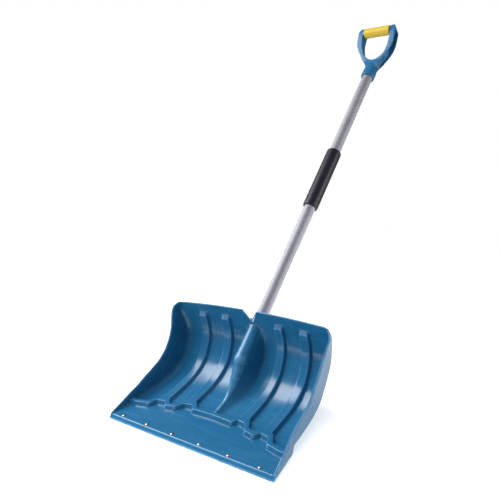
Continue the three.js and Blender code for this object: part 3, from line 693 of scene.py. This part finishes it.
def build_blade():
    F, B = blade_grid(False), blade_grid(True)
    F, B = F[:, :-1], B[:, :-1]
    nr, nc, _ = F.shape

    def mirror(G):
        left = G[:, :0:-1].copy()
        left[..., 0] *= -1
        return np.concatenate([left, G], axis=1)

    F, B = mirror(F), mirror(B)
    nc = F.shape[1]
    verts = []
    faces = []

    def push(arr):
        base = len(verts)
        for p in arr.reshape(-1, 3):
            verts.append((p[0] * MM, (p[1] - V0) * MM, (p[2] + W0) * MM))
        return base

    f0, b0 = push(F), push(B)
    for i in range(nr - 1):
        for j in range(nc - 1):
            faces.append((f0 + i * nc + j, f0 + i * nc + j + 1, f0 + (i + 1) * nc + j + 1, f0 + (i + 1) * nc + j))
            faces.append((b0 + i * nc + j, b0 + (i + 1) * nc + j, b0 + (i + 1) * nc + j + 1, b0 + i * nc + j + 1))

    def strip(fi, bi, out, steps=5):
        """rounded closing strip between two boundary lines of vertex ids"""
        fp = np.array([verts[k] for k in fi])
        bp = np.array([verts[k] for k in bi])
        mid, half = (fp + bp) / 2, (fp - bp) / 2
        r = np.linalg.norm(half, axis=1, keepdims=True)
        prev = fi
        for k in range(1, steps):
            a = math.pi * k / steps
            pts = mid + half * math.cos(a) + out * r * math.sin(a)
            cur = list(range(len(verts), len(verts) + len(fi)))
            verts.extend(tuple(p) for p in pts)
            for q in range(len(fi) - 1):
                faces.append((prev[q], prev[q + 1], cur[q + 1], cur[q]))
            prev = cur
        for q in range(len(fi) - 1):
            faces.append((prev[q], prev[q + 1], bi[q + 1], bi[q]))

    def unit(a):
        return a / np.maximum(np.linalg.norm(a, axis=1, keepdims=True), 1e-9)

    top_f = [f0 + (nr - 1) * nc + j for j in range(nc)]
    top_b = [b0 + (nr - 1) * nc + j for j in range(nc)]
    # outward direction along the surface at the top edge, perpendicular to the edge
    P = np.array([verts[k] for k in top_f])
    Q = np.array([verts[f0 + (nr - 3) * nc + j] for j in range(nc)])
    tang = unit(np.gradient(P, axis=0))
    out = unit(P - Q)
    out = unit(out - tang * (out * tang).sum(1, keepdims=True))
    strip(top_f, top_b, out * 0.9)
    faces_before = len(faces)
    for side in (0, nc - 1):
        sf = [f0 + i * nc + side for i in range(nr)]
        sb = [b0 + i * nc + side for i in range(nr)]
        sg = -1.0 if side == 0 else 1.0
        out = np.zeros((nr, 3))
        out[:, 0] = sg * 0.35
        strip(sf, sb, out, 4)
    strip([f0 + j for j in range(nc)], [b0 + j for j in range(nc)], np.tile([[0, -0.25, -0.1]], (nc, 1)), 3)
    o = obj("blade_shell", verts, faces, BLUE, nodes=("blade",))
    bm = bmesh.new()
    bm.from_mesh(o.data)
    bmesh.ops.holes_fill(bm, edges=[e for e in bm.edges if len(e.link_faces) == 1], sides=40)
    bmesh.ops.recalc_face_normals(bm, faces=bm.faces)
    bm.to_mesh(o.data)
    bm.free()
    o.data.polygons.foreach_set("use_smooth", [True] * len(o.data.polygons))
    o.data.set_sharp_from_angle(angle=math.radians(62))
    return o


blade = build_blade()
v, f = lathe(rounded([(0, 285), (18.4, 285), (18.4, 412), (15.3, 412), (15.3, 292), (0, 292)], [0, 2, 1.2, 0.8, 0.5, 0]), 96, shaft(0))
obj("blade_socket", v, f, BLUE, sharp=40)


def rib_end_bars():
    """thin raised bars across the sloped upper end of each rib"""
    verts, faces = [], []
    for c in (-148.0, -78.0, 78.0, 148.0):
        for k in range(5):
            fr = 0.16 + 0.68 * k / 4
            st = E0 + (E1 - E0) * fr
            nv, nw = (float(q) for q in normal(st))
            p0, p1 = panel(E0, c), panel(E1, c)
            d = np.array([float(p1[0]) - float(p0[0]) - nv * RIB_H, float(p1[1]) - float(p0[1]) - nw * RIB_H])
            d /= np.linalg.norm(d)
            m = np.array([-d[1], d[0]])
            if m[0] * nv + m[1] * nw < 0:
                m = -m
            rings = []
            for x in np.linspace(c - 8.4, c + 8.4, 25):
                e = min(1.0, (8.4 - abs(x - c)) / 1.0)
                tap = math.sqrt(max(0.0, 1 - (1 - e) ** 2)) if e < 1 else 1.0
                pv, pw = (float(q) for q in panel(st, x))
                base = np.array([pv, pw]) + np.array([nv, nw]) * RIB_H * (1 - fr)
                ring = []
                for a in np.linspace(0, 2 * math.pi, 15)[:-1]:
                    p = base + d * (0.62 * math.cos(a)) * max(tap, 0.3) + m * ((0.42 if math.sin(a) > 0 else 0.5) * math.sin(a) * max(tap, 0.05) + 0.04)
                    ring.append(len(verts))
                    verts.append((x * MM, (p[0] - V0) * MM, (p[1] + W0) * MM))
                rings.append(ring)
            for a, b in zip(rings, rings[1:]):
                for q in range(14):
                    j = (q + 1) % 14
                    faces.append((a[q], b[q], b[j], a[j]))
            faces.append(tuple(rings[0]))
            faces.append(tuple(reversed(rings[-1])))
    obj("rib_end_bars", verts, faces, BLUE, sharp=70)


rib_end_bars()

# ----------------------------------------------------------------- wear plate
def plate():
    fr, bk, xf, xb, r = -8.1, 80.0, 224.0, 220.0, 9.0
    outline = [(-xf + 2, fr), (xf - 2, fr), (xf, fr + 2), (xb, bk - r)]
    outline += [(xb - r + r * math.cos(a), bk - r + r * math.sin(a)) for a in np.linspace(0.15, math.pi / 2, 8)]
    outline += [(-x, y) for x, y in reversed(outline[2:])]
    bm = bmesh.new()
    vs = [bm.verts.new((x * MM, (y - V0) * MM, 0.0)) for x, y in outline]
    face = bm.faces.new(vs)
    ext = bmesh.ops.extrude_face_region(bm, geom=[face])
    up = [e for e in ext["geom"] if isinstance(e, bmesh.types.BMVert)]
    bmesh.ops.translate(bm, verts=up, vec=(0, 0, 1.5 * MM))
    bmesh.ops.recalc_face_normals(bm, faces=bm.faces)
    rim = [e for e in bm.edges if abs(e.verts[0].co.z - e.verts[1].co.z) < 1e-7]
    bmesh.ops.bevel(bm, geom=rim, offset=0.35 * MM, segments=2, affect="EDGES", profile=0.5)
    me = bpy.data.meshes.new("wear_plate_sheet")
    bm.to_mesh(me)
    bm.free()
    me.materials.append(STEEL)
    o = bpy.data.objects.new("wear_plate_sheet", me)
    bpy.context.scene.collection.objects.link(o)
    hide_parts("wear_plate")
    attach(o, "root")


plate()

# --------------------------------------------------------------------- rivets
TOP = W0 + 0.3
for i, x in enumerate((-194, -117, -39.3, 39.3, 117, 194)):
    prof = [(0, 0.02), (3.9, 0.02), (4.05, 0.1), (2, 1.3), (2, TOP), (4.45, TOP), (4.55, TOP + 0.25), (4.4, TOP + 0.8), (3.95, TOP + 1.4), (3.2, TOP + 1.95), (2.15, TOP + 2.38), (1.05, TOP + 2.62), (0, TOP + 2.7)]
    v, f = lathe(prof, 40, Matrix.Translation(Vector((x, 5.4 - V0, 0)) * MM))
    obj(f"rivet_{i + 1}", v, f, ZINC, nodes=(f"lip_rivet_{i + 1}",), sharp=45)

# ----------------------------------------------------------------------- tube
v, f = lathe(rounded([(13.5, 292), (15, 292), (15, 1284), (13.5, 1284), (13.5, 292)], [0, 0.5, 0.5, 0.4, 0]), 128, shaft(0))
obj("tube", v, f, ALU, nodes=("shaft_tube",), sharp=40)

# ----------------------------------------------------------------------- foam
rng = np.random.default_rng(7)
prof = [(15.4, 744.8), (17.4, 744.6), (18.9, 745.2), (19.9, 746.6), (20.35, 749)]
for z in np.linspace(752, 933, 46):
    prof.append((20.42 - 0.10 * math.sin((z - 744) / 196 * math.pi) + 0.05 * math.sin(z * 0.31) + 0.02 * rng.standard_normal(), float(z)))
prof += [(20.35, 936), (19.9, 938.4), (18.9, 939.8), (17.4, 940.4), (15.4, 940.2), (15.4, 744.8)]
v, f = lathe(prof, 96, shaft(0))
obj("foam_sleeve", v, f, FOAM, nodes=("foam_grip",))

# --------------------------------------------------------------------- D-grip
GRIP_Q = ([1240, 1290, 1305, 1320, 1340, 1360, 1380, 1392, 1410], [0, 0, -1.8, -7, -16.4, -27, -34.8, -38.2, -40.2])


def make_grip():
    src = NODES["d_grip"]
    me = src.data.copy()
    o = bpy.data.objects.new("d_grip_body", me)
    bpy.context.scene.collection.objects.link(o)
    me.materials.clear()
    me.materials.append(BLUE_G)
    bm = bmesh.new()
    bm.from_mesh(me)
    bmesh.ops.remove_doubles(bm, verts=bm.verts, dist=1e-5)
    bm.to_mesh(me)
    bm.free()
    r = o.modifiers.new("remesh", "REMESH")
    r.mode = "VOXEL"
    r.voxel_size = 0.0011
    s = o.modifiers.new("smooth", "SMOOTH")
    s.factor = 0.5
    s.iterations = 16
    dg = bpy.context.evaluated_depsgraph_get()
    done = bpy.data.meshes.new_from_object(o.evaluated_get(dg))
    o.modifiers.clear()
    o.data = done
    # open channel along the outer side of both arms
    lo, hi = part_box("d_grip")
    moved = []
    for vv in done.vertices:
        x, y, z = (c / MM for c in vv.co)
        y, z = y + V0 - SHAFT_V, z - W0 - SHAFT_W
        t, q = AXV * y + AXW * z, AXW * y - AXV * z
        qc = float(np.interp(t, GRIP_Q[0], GRIP_Q[1]))
        n = vv.normal
        out = n.x * (1 if x > 0 else -1)
        w = (1 - float(smooth(6.0, 8.6, abs(q - qc)))) * float(smooth(1322, 1352, t)) * (1 - float(smooth(1398, 1404, t)))
        w *= float(smooth(0.35, 0.6, out))
        if w > 0 and abs(x) > 26:
            moved.append((vv, 4.5 * MM * w * (-1 if x > 0 else 1)))
    for vv, dx in moved:
        vv.co.x += dx
    for vv in done.vertices:
        for k in range(3):
            vv.co[k] = min(max(vv.co[k], lo[k]), hi[k])
    done.polygons.foreach_set("use_smooth", [True] * len(done.polygons))
    if not done.materials:
        done.materials.append(BLUE_G)
    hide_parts("d_grip")
    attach(o, "root")
    return o


make_grip()

BAR = shaft(0) @ Matrix.Translation(Vector((0, -45.5, 1393.6)) * MM) @ Matrix.Rotation(math.pi / 2, 4, "Y")
prof = [(10.9, -41), (13.0, -41), (13.9, -40.7), (14.35, -40), (14.5, -39)]
prof += [(14.5 - 0.12 * (1 - (z / 39) ** 2), float(z)) for z in np.linspace(-36, 36, 19)]
prof += [(14.5, 39), (14.35, 40), (13.9, 40.7), (13.0, 41), (10.9, 41), (10.9, -41)]
v, f = lathe(prof, 80, BAR)
obj("sleeve", v, f, YELLOW, nodes=("grip_sleeve",))

# ------------------------------------------------------------------- hardware
AC = shaft(398) @ Matrix.Rotation(math.pi / 2, 4, "Y")
SEAT = 18.5
v, f = lathe(rounded([(0, -SEAT - 7.9), (2.6, -SEAT - 7.9), (3, -SEAT - 7.4), (3, SEAT + 2.1), (6.2, SEAT + 2.1), (6.1, SEAT + 3.9), (4.6, SEAT + 5.5), (0, SEAT + 6.2)], [0, 0.2, 0.2, 0, 0.3, 0.6, 0.9, 0]), 40, AC)
obj("cross_bolt", v, f, ZINC, nodes=("socket_bolt",), sharp=40)
for nm, z in (("socket_washer_head", SEAT + 0.35), ("socket_washer_nut", -SEAT - 1.75)):
    v, f = lathe(rounded([(3.3, z), (7, z), (7, z + 1.4), (3.3, z + 1.4), (3.3, z)], [0, 0.3, 0.3, 0.2, 0]), 48, AC)
    obj(nm + "_disc", v, f, ZINC, nodes=(nm,), sharp=40)


def nut():
    z0, z1, R = -SEAT - 2.1 - 5.0, -SEAT - 2.1, 5.75
    verts, faces = [], []
    seg = 48
    rings = []
    for z, rr, ch in ((z0, 3.3, 0), (z0, 5.0, 0), (z0 + 0.55, R, 1), (z1 - 0.55, R, 1), (z1, 5.0, 0), (z1, 3.3, 0)):
        ring = []
        for k in range(seg):
            a = 2 * math.pi * k / seg
            rad = rr
            if ch:
                b = (a + math.pi / 6) % (math.pi / 3) - math.pi / 6
                rad = min(rr, 5.0 / math.cos(b))
            ring.append(len(verts))
            verts.append(AC @ (Vector((rad * math.cos(a), rad * math.sin(a), z)) * MM))
        rings.append(ring)
    for a, b in zip(rings, rings[1:] + rings[:1]):
        for k in range(seg):
            j = (k + 1) % seg
            faces.append((a[k], b[k], b[j], a[j]))
    obj("lock_nut", verts, faces, ZINC, nodes=("socket_nut",), sharp=25)


nut()
r0 = 20.7
SC = shaft(1262) @ Matrix.Rotation(-math.pi / 2, 4, "X")
v, f = lathe(rounded([(0, r0 - 10), (1.2, r0 - 9), (2, r0 - 7), (2, r0), (3.9, r0), (3.7, r0 + 1.2), (2.5, r0 + 2.2), (0.9, r0 + 2.45), (0.9, r0 + 1.3), (0, r0 + 1.3)], [0, 0.2, 0.3, 0, 0.3, 0.4, 0.5, 0.1, 0.1, 0]), 32, SC)
obj("collar_screw", v, f, ZINC, nodes=("grip_screw",), sharp=40)

# ------------------------------------------------------- floor, light, camera
def floor():
    bm = bmesh.new()
    bmesh.ops.create_circle(bm, cap_ends=True, segments=128, radius=1.05)
    me = bpy.data.meshes.new("floor")
    bm.to_mesh(me)
    bm.free()
    o = bpy.data.objects.new("floor", me)
    o.location = (0, 0.3, -0.0006)
    bpy.context.scene.collection.objects.link(o)
    m, nt, p = nodes_of("pale_floor")
    p.inputs["Base Color"].default_value = (0.90, 0.90, 0.90, 1)
    p.inputs["Roughness"].default_value = 0.8
    p.inputs["Specular IOR Level"].default_value = 0.1
    p.inputs["Emission Color"].default_value = (1, 1, 1, 1)
    p.inputs["Emission Strength"].default_value = 0.55
    me.materials.append(m)


floor()


def area(name, where, at, size, power, colour=(1, 1, 1)):
    d = bpy.data.lights.new(name, "AREA")
    d.shape = "RECTANGLE"
    d.size, d.size_y = size
    d.energy = power
    d.color = colour
    o = bpy.data.objects.new(name, d)
    o.location = where
    o.rotation_mode = "QUATERNION"
    o.rotation_quaternion = (Vector(at) - Vector(where)).to_track_quat("-Z", "Y")
    bpy.context.scene.collection.objects.link(o)
    return o


area("key_softbox", (-1.50, 0.02, 1.75), (0.0, 0.12, 0.06), (1.25, 1.65), 56.0)
over = area("overhead", (0.2, 0.6, 4.2), (0.2, 0.6, 0.0), (2.0, 2.0), 64.0)
over.visible_glossy = False
area("top_glint", (0.1, 0.5, 4.2), (0.1, 0.5, 0.0), (0.7, 0.7), 5.0)
fill = area("front_fill", (-0.7, -2.6, 1.1), (0.0, 0.2, 0.15), (1.6, 1.0), 40.0)
fill.visible_glossy = False
area("low_strip", (-1.75, -0.30, 0.72), (0.0, 0.15, 0.10), (1.1, 0.30), 4.0)
area("back_right", (1.9, 1.35, 0.55), (0.1, 0.5, 0.3), (1.3, 1.3), 22.0)

world = bpy.data.worlds.new("studio")
bpy.context.scene.world = world
world.use_nodes = True
nt = world.node_tree
bg = nt.nodes["Background"]
bg.inputs["Color"].default_value = (0.96, 0.97, 1.0, 1)
bg.inputs["Strength"].default_value = 0.17
seen = nt.nodes.new("ShaderNodeBackground")
seen.inputs["Color"].default_value = (1, 1, 1, 1)
seen.inputs["Strength"].default_value = 1.0
lp = nt.nodes.new("ShaderNodeLightPath")
mx = nt.nodes.new("ShaderNodeMixShader")
nt.links.new(lp.outputs["Is Camera Ray"], mx.inputs[0])
nt.links.new(bg.outputs[0], mx.inputs[1])
nt.links.new(seen.outputs[0], mx.inputs[2])
nt.links.new(mx.outputs[0], nt.nodes["World Output"].inputs["Surface"])

cam_d = bpy.data.cameras.new("camera")
cam = bpy.data.objects.new("camera", cam_d)
bpy.context.scene.collection.objects.link(cam)
bpy.context.scene.camera = cam
cam_d.sensor_width = 36.0
cam_d.lens = 568.554 / 500 * 36.0
cam_d.shift_x = -0.0005
cam_d.clip_start, cam_d.clip_end = 0.05, 200.0
cx, cy, cz = Vector((0.7949, 0.5954, -0.1166)), Vector((-0.0773, 0.2900, 0.9539)), Vector((0.6018, -0.7493, 0.2766))
cz.normalize()
cx = (cx - cz * cx.dot(cz)).normalized()
cy = cz.cross(cx)
cam.matrix_world = Matrix(((cx.x, cy.x, cz.x, 0.792909), (cx.y, cy.y, cz.y, -0.725643), (cx.z, cy.z, cz.z, 0.701714), (0, 0, 0, 1)))

vs = bpy.context.scene.view_settings
vs.view_transform = "Standard"
vs.look = "None"
vs.exposure = 0.0
